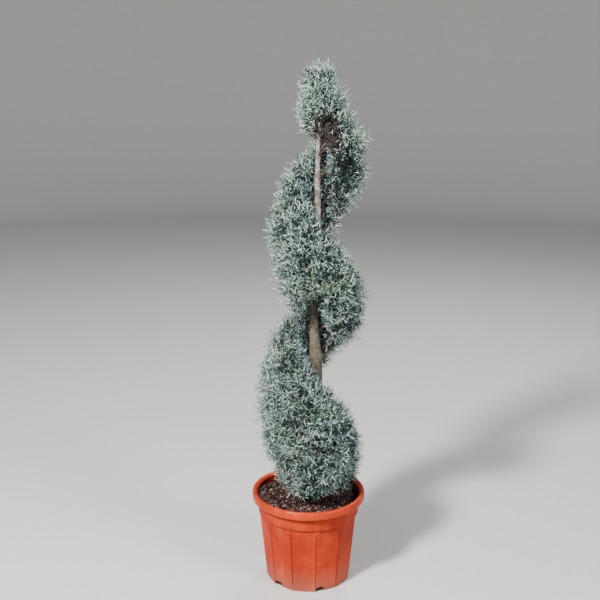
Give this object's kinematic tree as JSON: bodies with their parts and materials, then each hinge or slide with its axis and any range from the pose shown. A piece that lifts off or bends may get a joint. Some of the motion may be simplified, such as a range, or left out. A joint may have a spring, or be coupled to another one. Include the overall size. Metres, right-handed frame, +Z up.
{
  "type": "spiral topiary",
  "caption": "Blue cypress clipped as a spiral round one bare trunk, growing in a terracotta-coloured plastic nursery pot.",
  "frame": {"origin": "centre of the pot's flat underside, on the ground the pot stands on", "axes": "+Z up the trunk, -Y towards the front of the plant, where the band first crosses the trunk, +X to the right"},
  "size_m": [0.3871, 0.3839, 1.726],
  "materials": {
    "pot_plastic": "satin",
    "compost": "matte",
    "bark": "matte",
    "foliage": "matte"
  },
  "bodies": {
    "root": {"pot": "pot_plastic", "soil": "compost", "trunk": "bark", "bough_01": "bark", "bough_02": "bark", "bough_03": "bark", "bough_04": "bark", "bough_05": "bark", "bough_06": "bark", "bough_07": "bark", "bough_08": "bark", "bough_09": "bark", "bough_10": "bark", "bough_11": "bark", "bough_12": "bark", "bough_13": "bark", "bough_14": "bark", "bough_15": "bark", "bough_16": "bark", "foliage_01": "foliage", "foliage_02": "foliage", "foliage_03": "foliage", "foliage_04": "foliage", "foliage_05": "foliage", "foliage_06": "foliage", "foliage_07": "foliage", "foliage_08": "foliage", "foliage_09": "foliage", "foliage_10": "foliage", "foliage_11": "foliage", "foliage_12": "foliage", "foliage_13": "foliage", "foliage_14": "foliage", "foliage_15": "foliage", "foliage_16": "foliage", "foliage_top": "foliage"}
  },
  "joints": []
}
